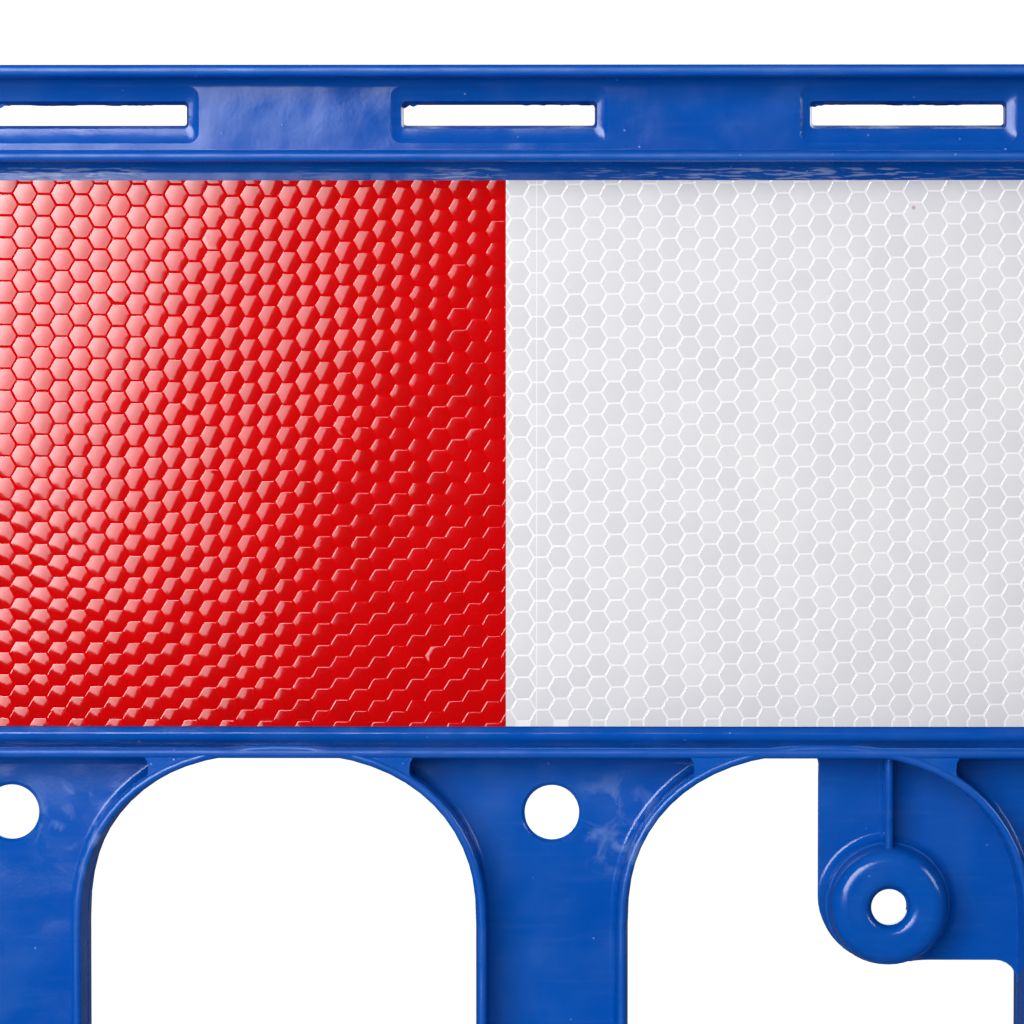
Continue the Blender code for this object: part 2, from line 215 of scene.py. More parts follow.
def mirror_in_y(obj):
    """Takes out the face in the mid-plane, and mirrors the half solid about it."""
    deselect_mesh(obj)
    for polygon in obj.data.polygons:
        polygon.select = all(abs(obj.data.vertices[i].co.y) < 1e-7 for i in polygon.vertices)
    edit(obj)
    bpy.ops.mesh.delete(type="ONLY_FACE")
    leave_edit()
    in_y = (False, True, False)
    apply_modifier(obj, "MIRROR", use_axis=in_y, use_mirror_merge=True, merge_threshold=SAME_POINT)
    tidy_normals(obj)
    return obj


def relief(name, points, steps, through_centre=False):
    """A solid with the same relief on both faces, from an outline in the mid-plane."""
    solid = flat_face(name, points)
    edit_all(solid)
    work_inwards(steps)
    if through_centre:
        bpy.ops.mesh.delete(type="FACE")
    leave_edit()
    return mirror_in_y(solid)


def tidy_normals(obj):
    edit_all(obj)
    bpy.ops.mesh.remove_doubles(threshold=SAME_POINT)
    bpy.ops.mesh.normals_make_consistent(inside=False)
    leave_edit()


def bar(name, section, start, end, axis="X"):
    """A length of a section drawn across an axis, capped at both ends."""
    solid = flat_face(name, section, axis)
    shift(solid, AXES[axis] * start)
    edit_all(solid)
    along = AXES[axis] * (end - start)
    bpy.ops.mesh.extrude_region_move(TRANSFORM_OT_translate={"value": along})
    leave_edit()
    tidy_normals(solid)
    return solid


def slice_off(obj, point, normal):
    """Cuts away what lies beyond a plane, and caps the cut."""
    edit_all(obj)
    bpy.ops.mesh.bisect(plane_co=point, plane_no=normal, use_fill=True, clear_outer=True)
    leave_edit()


# ---- outlines and sections ----


def arc(centre, radius, first, last, steps):
    angles = [math.radians(first + (last - first) * i / steps) for i in range(steps + 1)]
    return [(centre[0] + radius * math.cos(t), centre[1] + radius * math.sin(t)) for t in angles]


def round_outline(centre, radius, sides=36):
    return arc(centre, radius, 0, 360 - 360 / sides, sides - 1)


def rounded_rectangle(left, right, low, high, radius, steps=6):
    return (
        arc((right - radius, high - radius), radius, 0, 90, steps)
        + arc((left + radius, high - radius), radius, 90, 180, steps)
        + arc((left + radius, low + radius), radius, 180, 270, steps)
        + arc((right - radius, low + radius), radius, 270, 360, steps)
    )


def arched_end(centre_z, half, rise, way, steps):
    """Half of a superellipse over the top of an opening, or under its foot."""
    points = []
    for step in range(steps + 1):
        angle = math.pi * step / steps
        across = math.copysign(abs(math.cos(angle)) ** (2 / SQUARENESS), math.cos(angle))
        up = abs(math.sin(angle)) ** (2 / SQUARENESS)
        points.append((way * half * across, centre_z + way * rise * up))
    return points


def opening_outline(row, grow, steps=30):
    low, high = row
    half = OPENING_HALF + grow
    return arched_end(high - ARCH_RISE, half, ARCH_RISE + grow, 1, steps) + arched_end(
        low + FOOT_RISE, half, FOOT_RISE + grow, -1, steps - 8
    )


def over_the_front(half, rise, steps=10, turn=math.pi):
    """Inset steps that carry a face over the rounded front of a rib, or part of the way over."""
    angles = [turn * step / steps for step in range(steps + 1)]
    return [
        (half * (math.cos(a) - math.cos(b)), rise * (math.sin(b) - math.sin(a)))
        for a, b in zip(angles, angles[1:])
    ]


def rounded_front(half, depth, root, steps=5):
    """Right half of a rib's section, from its root to the middle of its rounded front."""
    points = [(half + lift, height) for lift, height in root]
    for step in range(steps + 1):
        angle = math.pi / 2 * step / steps
        points.append((half * math.cos(angle), depth - FRONT_ROUND * (1 - math.sin(angle))))
    return points


ROOT_FILLET = (
    (0.0028, WEB_HALF - 0.0004), (0.0028, WEB_HALF), (0.0018, WEB_HALF + 0.0002),
    (0.0010, WEB_HALF + 0.0008), (0.0004, WEB_HALF + 0.0018), (0.0001, WEB_HALF + 0.0034),
)
SMALL_FILLET = ((0.0009, WEB_HALF - 0.0004), (0.0009, WEB_HALF), (0.0002, WEB_HALF + 0.0006))
RIM_ROOT = (
    (0, WEB_HALF - 0.0004), (0.0001, 0.0004), (0.0008, 0.0002), (0.0006, 0.0005), (0.0004, 0.0008),
    (0.0002, 0.0013),
)


def rib_section(thickness, depth, root=ROOT_FILLET):
    """A rib on both faces of the web, with rounded fronts and filleted roots.

    Points are (distance across the rib, distance from the mid-plane).
    """
    quarter = rounded_front(thickness / 2, depth, root)
    right = quarter + [(-a, b) for a, b in reversed(quarter[:-1])]
    left = [(a, -b) for a, b in reversed(right)]
    return right + left


# ---- the moulding ----


def panel_border():
    """The web with the deep rounded flange that runs round its edge."""
    outline = rounded_rectangle(-END_X, END_X, BOTTOM_Z, TOP_Z, CORNER_RADIUS, 8)
    root = [(0.0001, -0.0018), (0.0003, -0.0012), (0.0006, -0.0008), (0.0008, -0.0004), (0.0010, -0.0002)]
    fall = FLANGE_DEPTH - FRONT_ROUND - WEB_HALF + sum(down for _, down in root)
    steps = [(0, FLANGE_DEPTH - FRONT_ROUND), *over_the_front(0.0016, FRONT_ROUND), (0.0003, -fall), *root]
    return relief("panel_border", outline, steps)


def opening_rim(row):
    """The rib that runs round one opening, with a drafted inner wall."""
    flare = 0.0022
    rib = FLANGE - 0.0003
    steps = [
        *RIM_ROOT, (0.0001, RIB_DEPTH - FRONT_ROUND - (WEB_HALF + 0.0028)),
        *over_the_front((rib - 0.0001) / 2, FRONT_ROUND),
        (WALL_DRAFT, -(RIB_DEPTH - FRONT_ROUND - PARTING_STEP)), (PARTING_STEP, 0.0), (0.0, -PARTING_STEP),
    ]
    outline = opening_outline(row, WALL_DRAFT + rib + flare)
    return relief("opening_rim", outline, steps, through_centre=True)


def opening_centres():
    return [PITCH * (k + 0.5) for k in range(-6, 6)]


def strut_centres():
    return [PITCH * k for k in range(-6, 7)]


def along_row(master, centres):
    """Copies a shape modelled at x = 0 to each place along a row, as one object."""
    copies = []
    for x in centres:
        twin = copy_of(master)
        shift(twin, (x, 0, 0))
        copies.append(twin)
    drop(master)
    return join(copies)


def lattice_cutters():
    """What is cut out of the web for the openings, a little larger than the finished holes."""
    cutters = []
    for row in (UPPER_ROW, LOWER_ROW):
        cutter = bar("opening_cut", opening_outline(row, WALL_DRAFT + 0.0013), -0.01, 0.01, "Y")
        cutters.append(along_row(cutter, opening_centres()))
    return cutters


def lattice_rims():
    rims = []
    trims = {UPPER_ROW: (0.5650, 0.8146), LOWER_ROW: (0.2640, 0.5220)}
    for row, (low, high) in trims.items():
        rim = opening_rim(row)
        slice_off(rim, (0, 0, high), (0, 0, 1))
        slice_off(rim, (0, 0, low), (0, 0, -1))
        rims.append(along_row(rim, opening_centres()))
    return rims


def long_flanges():
    """The flanges that run from end to end."""
    middles = (
        RAIL_FLANGE_TOP - FLANGE / 2,
        BOARD_FLANGE_TOP - FLANGE / 2,
        MID_FLANGES[0] + FLANGE / 2,
        MID_FLANGES[1] + FLANGE / 2,
        BASE_FLANGE_TOP - FLANGE / 2,
    )
    flanges = []
    for z in middles:
        section = [(b, z + a) for a, b in rib_section(FLANGE, FLANGE_DEPTH - 0.0001)]
        flanges.append(bar("long_flange", section, -RIB_END, RIB_END))
    return flanges


def board_cove():
    """The wide shallow cove where the board runs down onto its flange."""
    deep, tall, steps = 0.0100, 0.0031, 12
    side = [(WEB_HALF - 0.0003, BOARD_FLANGE_TOP + tall + 0.0001)]
    for step in range(steps + 1):
        turn = math.pi / 2 * step / steps
        reach, drop_left = deep * (1 - math.cos(turn)), tall * (1 - math.sin(turn))
        side.append((WEB_HALF + 0.00003 + reach, BOARD_FLANGE_TOP + 0.00004 + drop_left))
    side.append((WEB_HALF + deep, BOARD_FLANGE_TOP - 0.0008))
    section = both_faces(side)
    return bar("board_cove", section, -END_X + 0.0016, END_X - 0.0016)


def end_post_ribs():
    ribs = []
    inner = 6 * PITCH - (PITCH / 2 - OPENING_HALF) + 0.0015
    for z in (0.345, 0.430, 0.650, 0.735):
        section = [(b, z + a) for a, b in rib_section(FLANGE, SHORT_RIB_DEPTH)]
        for side in SIDES:
            ribs.append(bar("end_post_rib", section, *sorted((side * inner, side * RIB_END))))
    return ribs


def base_ribs():
    ribs = []
    for x in strut_centres():
        if abs(abs(x) - FOOT_X) > PITCH / 4:
            section = [(x + a, b) for a, b in rib_section(FLANGE, SHORT_RIB_DEPTH)]
            ribs.append(bar("base_rib", section, BOTTOM_Z + 0.0015, BASE_FLANGE_TOP - 0.0012, "Z"))
    return ribs


def both_faces(side):
    """Adds the other face's points to half a section."""
    return side + [(-y, z) for y, z in reversed(side)]


def slot_rail():
    """The thick rail under the top flange, with coved corners where it meets its flanges."""
    face, cove, tight = 0.004, 0.0025, 0.0010
    top, foot = TOP_Z - 0.0032, RAIL_FLANGE_TOP
    upper = arc((face + cove, top - cove), cove, 90, 180, 5)
    lower = arc((face + tight, foot + tight), tight, 180, 270, 5)
    side = [(face + cove, top + 0.0005), *upper, *lower, (face + tight, foot - 0.0005)]
    return bar("slot_rail", both_faces(side), -RIB_END, RIB_END)


def slot_funnel():
    """The tool for one tie slot: a wide mouth, an edge, and walls that close to the middle."""
    length, height = 0.02675 - 0.0006, SLOT_HALF_HEIGHT
    low, high = SLOT_Z - height + 0.0010, SLOT_Z + height - 0.0010
    corner, rounding = 0.0008, 0.45
    funnel = flat_face("slot_funnel", rounded_rectangle(-length, length, low, high, corner, 5))
    edit_all(funnel)
    widening = (
        (0.0010, 0.0028), (0.0013, 0.00025), (0.0014, 0.00035), (0.0012, 0.0005), (0.0005, 0.0004),
        (0.0003, 0.0012),
    )
    for outward, forward in widening:
        push_out(forward)
        leave_edit()
        grow_selected(funnel, outward, corner, outward * rounding)
        corner += outward * rounding
        bpy.ops.object.mode_set(mode="EDIT")
    leave_edit()
    return mirror_in_y(funnel)


def grow_selected(obj, distance, radius, rounder):
    """Widens the selected outline, and rounds its corners as it grows."""
    end_share = 0.72
    chosen = [vertex for vertex in obj.data.vertices if vertex.select]
    corner_x = max(vertex.co.x for vertex in chosen) - radius
    corner_z = max(vertex.co.z for vertex in chosen) - SLOT_Z - radius
    growth = 1 + rounder / radius
    for vertex in chosen:
        across, up = abs(vertex.co.x) - corner_x, abs(vertex.co.z - SLOT_Z) - corner_z
        wide = corner_x + across * growth + distance * end_share - rounder
        high = corner_z + up * growth + distance - rounder
        vertex.co.x = math.copysign(wide, vertex.co.x)
        vertex.co.z = SLOT_Z + math.copysign(high, vertex.co.z - SLOT_Z)


def slot_centres():
    steps = [SLOT_FIRST + SLOT_PITCH * k for k in range(8)]
    return [-x for x in reversed(steps)] + steps


def hole_tool(name, centre, radius):
    """The tool for a round hole whose edges are eased on both faces."""
    ease = 0.0010
    steps = (
        (1.0, WEB_HALF - ease), (1 + 0.45 * ease / radius, 0.0006), (1 + 0.55 * ease / radius, 0.0004),
        (1.0, 0.002),
    )
    tool = flat_face(name, round_outline(centre, radius, 48))
    edit_all(tool)
    for wider, forward in steps:
        push_out(forward)
        bpy.ops.transform.resize(value=(wider, 1, wider), center_override=(centre[0], 0, centre[1]))
    leave_edit()
    return mirror_in_y(tool)


def cusp_gussets():
    """The small webs that fill the sharp corners between the board's flange and the arches."""
    end = [(0.0380, 0.8122), (0.0366, 0.8114), (0.0358, 0.8100), (0.0356, 0.8078), (0.0360, 0.8056)]
    outline = [(0.0200, 0.8130), *end, (0.0345, 0.8050), (0.0280, 0.8082), (0.0200, 0.8118)]
    half = RIB_DEPTH - 0.0006
    gussets = []
    for side in SIDES:
        face = [(side * x, z) for x, z in outline]
        gussets.append(bar("cusp_gusset", face, -half, half, "Y"))
    return along_row(join(gussets), opening_centres())


def sign_plate(side):
    """The web in an opening's corner that carries a sign boss."""
    outer, low, high = PLATE_EDGE, PLATE_LOW, 0.8124
    inner = PITCH / 2 - OPENING_HALF
    corner, ease, sweep = 0.0172, 0.0024, 0.006
    outline = [
        (outer + ease, high), *arc((outer + ease, 0.8088), ease, 90, 180, 6),
        *arc((outer - corner, low + corner), corner, 0, -90, 12),
        *arc((inner + sweep, low - sweep), sweep, 90, 180, 6), (inner - 0.001, low - 0.0075),
        (inner - 0.001, high),
    ]
    return [(side * x, z) for x, z in outline]


def sign_boss(side):
    """A drafted round boss with a big soft shoulder and a dished bore, on both faces."""
    steps = [
        (0, 0.0020), (0.0003, 0.0025), (0.0009, 0.0070),
        *over_the_front(0.0042, 0.0040, 7, math.pi / 2),
        (0.0004, 0.0), (0.0002, -0.00005), (0.0002, 0.00005), (0.0026, 0.0), (0.0009, -0.00010),
        (0.0008, -0.00028), (0.0007, -0.00055), (0.0005, -0.0009), (0.0003, -0.0011),
    ]
    return relief("sign_boss", round_outline((side * BOSS_X, BOSS_Z), 0.0171, 48), steps)


def boss_cove(side):
    """The cove at the foot of a boss, kept to the plate that it stands on."""
    steps = [
        (0, WEB_HALF - 0.0003), (0.0002, 0.0003), (0.0005, 0.00010), (0.0006, 0.0003), (0.0007, 0.0007),
        (0.0006, 0.0010), (0.0003, 0.0012),
    ]
    cove = relief("boss_cove", round_outline((side * BOSS_X, BOSS_Z), 0.0200, 48), steps)
    keep = bar("cove_keep", sign_plate(side), -0.012, 0.012, "Y")
    return merge(cove, [keep], "INTERSECT")


def boss_rib(side):
    """The low rib between an arch and its boss."""
    x = side * BOSS_X
    section = [(x + a, b) for a, b in rib_section(0.0023, 0.0112, SMALL_FILLET)]
    return bar("boss_rib", section, BOSS_Z + 0.0155, 0.8125, "Z")


def link_lug(side, low, high):
    """A round-ended tongue for a hook arm or an eye."""
    half_turn = arc((LINK_X, 0), LINK_RADIUS, -90, 90, 16)
    outline = [(RIB_END, -LINK_RADIUS), *half_turn, (RIB_END, LINK_RADIUS)]
    lug = bar("link_lug", [(side * x, y) for x, y in outline], low, high, "Z")
    apply_modifier(lug, "BEVEL", width=0.0012, segments=3, limit_method="ANGLE")
    return lug


def hook_pin(low, high):
    """A tapered pin under a hook arm."""
    pin = flat_face("hook_pin", round_outline((-LINK_X, 0), PIN_RADIUS), "Z")
    shift(pin, (0, 0, high))
    edit_all(pin)
    straight = high - low - 0.012
    for fall, narrow in ((straight, 1.0), (0.0105, 0.79), (0.0010, 0.93), (0.0005, 0.88)):
        bpy.ops.mesh.extrude_region_move(TRANSFORM_OT_translate={"value": (0, 0, -fall)})
        bpy.ops.transform.resize(value=(narrow, narrow, 1), center_override=(-LINK_X, 0, 0))
    leave_edit()
    tidy_normals(pin)
    return pin


def link_parts():
    parts = []
    for low in LINK_LOWS:
        parts.append(link_lug(1, low, low + 0.025))
        arm_low = low + 0.0253
        parts.append(link_lug(-1, arm_low, arm_low + 0.018))
        parts.append(hook_pin(arm_low - 0.048, arm_low + 0.009))
    return parts


def foot_sleeves():
    outlines = [round_outline((side * FOOT_X, 0), SLEEVE_RADIUS) for side in SIDES]
    return [bar("foot_sleeve", outline, BOTTOM_Z, POCKET_LOW, "Z") for outline in outlines]


def pocket_outline(side, grow):
    x, half = side * FOOT_X, POCKET_HALF + grow
    return rounded_rectangle(
        x - half, x + half, POCKET_LOW - grow, POCKET_HIGH + grow, POCKET_CORNER + grow
    )


def pocket_frame(side):
    """The rib round a bolt pocket, whose inner wall comes back to the mid-plane."""
    steps = [
        *RIM_ROOT, (0.0001, 0.0100), (0.0003, 0.0005), (0.0005, 0.0002), (0.0013, 0.0), (0.0005, -0.0002),
        (0.0003, -0.0005),
    ]
    steps.append((0.0002, -sum(outward for _, outward in steps)))
    outline = pocket_outline(side, sum(inward for inward, _ in steps))
    return relief("pocket_frame", outline, steps, through_centre=True)


def panel_bores():
    """The tools for the sign bosses' bores, the bolts' bores and the eyes."""
    bores = []
    for side in SIDES:
        boss = (side * BOSS_X, BOSS_Z)
        bores.append(bar("boss_bore", round_outline(boss, 0.0049), -CUT_REACH, -0.0080, "Y"))
        bores.append(bar("boss_core", round_outline(boss, 0.0088), -0.0085, CUT_REACH, "Y"))
        bolt = round_outline((side * FOOT_X, 0), BORE_RADIUS)
        bores.append(bar("bolt_bore", bolt, BOTTOM_Z - 0.01, POCKET_LOW + 0.01, "Z"))
    for low in LINK_LOWS:
        bores.append(bar("eye_bore", round_outline((LINK_X, 0), EYE_RADIUS), low - 0.01, low + 0.035, "Z"))
    return bores


def make_moulding(material):
    panel = panel_border()
    merge(panel, [slot_rail(), *long_flanges(), board_cove()], "UNION")
    merge(panel, [join(base_ribs()), join(end_post_ribs()), join(foot_sleeves())], "UNION")
    merge(panel, lattice_cutters(), "DIFFERENCE")
    outlines = [pocket_outline(side, 0.0016) for side in SIDES]
    pockets = [bar("pocket_cut", outline, -CUT_REACH, CUT_REACH, "Y") for outline in outlines]
    merge(panel, [join(pockets)], "DIFFERENCE")
    frames = join([pocket_frame(side) for side in SIDES])
    merge(panel, [*lattice_rims(), cusp_gussets(), frames], "UNION")
    for side in SIDES:
        plate = bar("sign_plate", sign_plate(side), -WEB_HALF, WEB_HALF, "Y")
        merge(panel, [plate, boss_cove(side), sign_boss(side), boss_rib(side)], "UNION")
    merge(panel, link_parts(), "UNION")
    merge(panel, [along_row(slot_funnel(), slot_centres())], "DIFFERENCE")
    holes = along_row(hole_tool("strut_hole", (0, HOLE_Z), HOLE_RADIUS), strut_centres())
    merge(panel, [holes], "DIFFERENCE")
    merge(panel, panel_bores(), "DIFFERENCE")
    take_over(panel, "moulding", "panel_moulding", "panel", material, 32)


def finish_mesh(obj, angle):
    """Smooth shading with the flats kept flat."""
    pick(obj)
    bpy.ops.object.shade_smooth_by_angle(angle=math.radians(angle))
    apply_modifier(obj, "WEIGHTED_NORMAL", keep_sharp=True, weight=60)


def take_over(obj, name, node, body, material, angle=None):
    """Names and colours a finished piece, and puts it in the place of its CAD node."""
    obj.name = name
    obj.data.materials.clear()
    obj.data.materials.append(material)
    if angle:
        finish_mesh(obj, angle)
    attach(obj, body)
    if node:
        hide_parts(node)


# ---- honeycomb sheeting ----

CELL_APOTHEM = 0.003
SHEET_LAND = 0.00274
SHEET_BACK = 0.0023
SEAM_REACH = 0.00013
FIELD_PITCH = 0.1617
FIELD_EDGE = 0.16155
CELLS_ACROSS, CELLS_UP = 18, 27
CELL_TILT, CELL_LIFT = 0.0018, 3e-6
WHITE_MARGIN = 0.0016


def honeycomb_cell():
    """One flat-topped cell: a flat land, a steep edge and a shallow dome."""
    cell = flat_face("honeycomb_cell", arc((0, 0), CELL_APOTHEM / math.cos(math.radians(30)), 0, 300, 5))
    edit_all(cell)
    work_inwards([(0.00015, 0.0), (0.00020, 0.000052), (0.00115, 0.000060)])
    bpy.ops.mesh.poke(offset=0.000026)
    leave_edit()
    return cell


def points_of(mesh):
    points = np.empty(len(mesh.vertices) * 3)
    mesh.vertices.foreach_get("co", points)
    return points.reshape(-1, 3)


def honeycomb(seed, turn):
    """A patch of cells, each tipped a little its own way, as pressed film is."""
    chance = np.random.default_rng(seed)
    cell = honeycomb_cell()
    cell_points = len(cell.data.vertices)
    neighbour = copy_of(cell)
    column = 2 * CELL_APOTHEM * math.cos(math.radians(30))
    shift(neighbour, (column, 0, CELL_APOTHEM))
    film = join([cell, neighbour])
    for count, step in ((CELLS_ACROSS, (2 * column, 0, 0)), (CELLS_UP, (0, 0, 2 * CELL_APOTHEM))):
        apply_modifier(
            film,
            "ARRAY",
            count=count,
            use_relative_offset=False,
            use_constant_offset=True,
            constant_offset_displace=step,
        )
    mesh = film.data
    points = points_of(mesh).reshape(-1, cell_points, 3)
    count = len(points)
    raised = points[:, :, 1] < -1e-6
    centres = points.mean(axis=1, keepdims=True)
    tilt = chance.normal(0, CELL_TILT, (count, 1, 2))
    lift = ((points - centres)[:, :, [0, 2]] * tilt).sum(axis=2) + chance.normal(0, CELL_LIFT, (count, 1))
    points[:, :, 1] += np.where(raised, lift, 0)
    mesh.vertices.foreach_set("co", points.ravel())
    land = np.where(raised, 0.0, 1.0)
    tone = np.repeat(chance.uniform(0, 1, (count, 1)), cell_points, axis=1)
    for name, values in (("land", land), ("cell_tone", tone)):
        layer = mesh.attributes.new(name, "FLOAT", "POINT")
        layer.data.foreach_set("value", values.ravel())
    mesh.update()
    edit_all(film)
    bpy.ops.mesh.remove_doubles(threshold=1e-5)
    leave_edit()
    mesh.transform(Matrix.Rotation(math.radians(turn), 4, "Y"))
    return film


def film_waves(places, seed):
    """How far a stuck-down film stands off its board from place to place."""
    chance = np.random.default_rng(seed)
    lift = np.zeros(len(places))
    for size, height in ((0.110, 0.00010), (0.052, 0.00005), (0.026, 0.000022)):
        for _ in range(3):
            angle, start = chance.uniform(0, 2 * math.pi, 2)
            along = places[:, 0] * math.cos(angle) + places[:, 2] * math.sin(angle)
            lift += height * np.sin(along / size * 2 * math.pi + start)
    return lift


def trim(film, low, high, margin):
    """Cuts a film to its field, and leaves a plain margin along its foot."""
    edit(film)
    cuts = (
        ((low.x, 0, 0), (-1, 0, 0)), ((high.x, 0, 0), (1, 0, 0)), ((0, 0, low.z + margin), (0, 0, -1)),
        ((0, 0, high.z), (0, 0, 1)),
    )
    for point, normal in cuts:
        bpy.ops.mesh.select_all(action="SELECT")
        bpy.ops.mesh.bisect(
            plane_co=point, plane_no=normal, use_fill=False, clear_outer=True, threshold=1e-7
        )
    leave_edit()


def back_film(film, low, margin):
    """Extrudes the trimmed edge down to the foot and back to the board, and closes the back."""
    if margin:
        select_edges(film, lambda a, b: max(a.z, b.z) < low.z + margin + SAME_POINT)
        bpy.ops.mesh.extrude_edges_move()
        leave_edit()
        for vertex in film.data.vertices:
            if vertex.select:
                vertex.co.z = low.z
                vertex.co.y = -SHEET_LAND
    edit_all(film, "EDGE")
    bpy.ops.mesh.region_to_loop()
    bpy.ops.mesh.extrude_edges_move()
    leave_edit()
    for vertex in film.data.vertices:
        if vertex.select:
            vertex.co.y = -SHEET_BACK
    edit(film, "EDGE")
    bpy.ops.mesh.edge_face_add()
    leave_edit()


def select_edges(obj, wanted):
    deselect_mesh(obj)
    points = obj.data.vertices
    for edge in obj.data.edges:
        a, b = (points[i] for i in edge.vertices)
        edge.select = wanted(a.co, b.co)
    edit(obj, "EDGE")


def deselect_mesh(obj):
    for part in (obj.data.vertices, obj.data.edges, obj.data.polygons):
        part.foreach_set("select", [False] * len(part))


def sheet_field(seed, turn, low, high, margin):
    """One field of film, from edge to edge and from foot to top."""
    low, high = low - Vector((SEAM_REACH, 0, 0)), high + Vector((SEAM_REACH, 0, 0))
    film = honeycomb(seed, turn)
    chance = random.Random(seed)
    left = low.x - 0.006 - chance.uniform(0, 0.005)
    foot = low.z - 0.004 - chance.uniform(0, 0.004)
    shift(film, (left, -SHEET_LAND, foot))
    trim(film, low, high, margin)
    back_film(film, low, margin)
    points = points_of(film.data)
    front = points[:, 1] < -SHEET_BACK - 1e-5
    points[:, 1] -= np.where(front, film_waves(points - [low.x, 0, low.z], seed) * 0.5, 0)
    film.data.vertices.foreach_set("co", points.ravel())
    film.data.update()
    pick(film)
    bpy.ops.object.shade_smooth_by_angle(angle=math.radians(7))
    return film


def make_sheets(materials):
    """Two patterns of each colour, copied along the board and turned round for its back."""
    red_low, red_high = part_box("front_red_sheet_05")
    white_low, white_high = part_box("front_white_sheet_06")
    masters = {
        "red_0": sheet_field(11, 0.6, red_low, red_high, 0.0),
        "red_1": sheet_field(12, -0.4, red_low, red_high, 0.0),
        "white_0": sheet_field(21, 0.5, white_low, white_high, WHITE_MARGIN),
        "white_1": sheet_field(22, -0.7, white_low, white_high, WHITE_MARGIN),
    }
    lefts = {"red": red_low.x, "white": white_low.x}
    field = red_high.x - red_low.x
    for face in ("front", "back"):
        for number in range(1, 13):
            colour = "red" if number % 2 else "white"
            node = f"{face}_{colour}_sheet_{number:02d}"
            film = copy_of(masters[f"{colour}_{number // 2 % 2}"])
            low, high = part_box(node)
            start = high.x - field if number == 1 else low.x
            shift(film, (start - lefts[colour], 0, 0))
            if number == 1:
                slice_off(film, (low.x, 0, 0), (-1, 0, 0))
            elif number == 12:
                slice_off(film, (high.x, 0, 0), (1, 0, 0))
            if face == "back":
                middle = (low.x + high.x) / 2
                film.data.transform(
                    Matrix.Translation((middle, 0, 0))
                    @ Matrix.Rotation(math.pi, 4, "Z")
                    @ Matrix.Translation((-middle, 0, 0))
                )
            name = f"{face}_{colour}_film_{number:02d}"
            take_over(film, name, node, "panel", materials[colour])
    for master in masters.values():
        drop(master)


# ---- flash left by the mould ----


def ragged_fin(left, right, root, depth, seed, clump):
    """A thin torn fin that hangs from the top wall of a slot."""
    chance = random.Random(seed)
    steps, thickness, clump_width = 56, 0.00022, 0.004
    lower = []
    reach = depth
    for step in range(steps + 1):
        x = left + (right - left) * step / steps
        reach += chance.uniform(-0.35, 0.35) * depth
        reach = min(max(reach, depth * 0.25), depth * 1.7)
        near_clump = math.exp(-(((x - left) / clump_width) ** 2)) * clump
        lower.append((x, root - reach - near_clump * chance.uniform(0.3, 1.0)))
    outline = [(left, root + 0.0006), *lower, (right, root + 0.0006)]
    fin = bar("slot_flash", outline, -thickness / 2, thickness / 2, "Y")
    bend = chance.uniform(0, 6.28)
    for vertex in fin.data.vertices:
        hang = max(0.0, root - vertex.co.z)
        vertex.co.y += hang * 0.9 * math.sin(vertex.co.x * 700 + bend)
        vertex.co.y += hang * 0.5 * math.sin(vertex.co.x * 2300 + 2 * bend)
    return fin


def make_flash(material):
    """Torn fins in the tie slots, joined in one piece."""
    half = 0.0265
    fins = []
    for number, x in enumerate(slot_centres()):
        top = ragged_fin(x - half, x + half, SLOT_Z + SLOT_HALF_HEIGHT, 0.0007, 100 + number, 0.0012)
        low = ragged_fin(x - half, x + half, 0, 0.00016, 300 + number, 0.0)
        low.data.transform(Matrix.Scale(-1, 4, (0, 0, 1)))
        low.data.flip_normals()
        shift(low, (0, 0, SLOT_Z - SLOT_HALF_HEIGHT))
        fins += [top, low]
    take_over(join(fins), "slot_flash", None, "panel", material)


# ---- feet and fixings ----


def turned(name, profile, x, steps=48, closed=False):
    """A turned shape about a vertical axis, from points of radius and height."""
    bpy.ops.mesh.primitive_circle_add(vertices=len(profile), radius=1, fill_type="NOTHING")
    shape = bpy.context.object
    shape.name = name
    for vertex, (radius, z) in zip(shape.data.vertices, profile):
        vertex.co = (x + radius, 0, z)
    if not closed:
        ends = {0, len(profile) - 1}
        deselect_mesh(shape)
        for edge in shape.data.edges:
            edge.select = set(edge.vertices) == ends
        edit(shape, "EDGE")
        bpy.ops.mesh.delete(type="EDGE")
        leave_edit()
    edit_all(shape, "VERT")
    bpy.ops.mesh.spin(steps=steps, angle=2 * math.pi, center=(x, 0, 0), axis=(0, 0, 1))
    leave_edit()
    tidy_normals(shape)
    return shape


def hexagon(name, x, low, high, chamfers):
    """A hexagonal head or nut; the corners are turned off at its foot, its top or both."""
    head = bar(name, arc((x, 0), HEX_CORNER, 0, 300, 5), low, high, "Z")
    flat = HEX_CORNER * math.cos(math.radians(30)) * 0.97
    rim = HEX_CORNER * 1.02
    foot, top = ((flat, 0.0017) if chamfer else (rim, 0) for chamfer in chamfers)
    profile = [
        (0, low), (foot[0], low), (rim, low + foot[1]), (rim, high - top[1]), (top[0], high), (0, high),
    ]
    return merge(head, [turned("chamfer", profile, x, 96)], "INTERSECT", "EXACT")


def thread_profile(low, high):
    points = []
    for turn in range(int((high - low) / THREAD_PITCH)):
        z = low + turn * THREAD_PITCH
        points += [
            (THREAD_ROOT, z + THREAD_PITCH * 0.06), (BOLT_RADIUS, z + THREAD_PITCH * 0.44),
            (BOLT_RADIUS, z + THREAD_PITCH * 0.56),
        ]
    return points


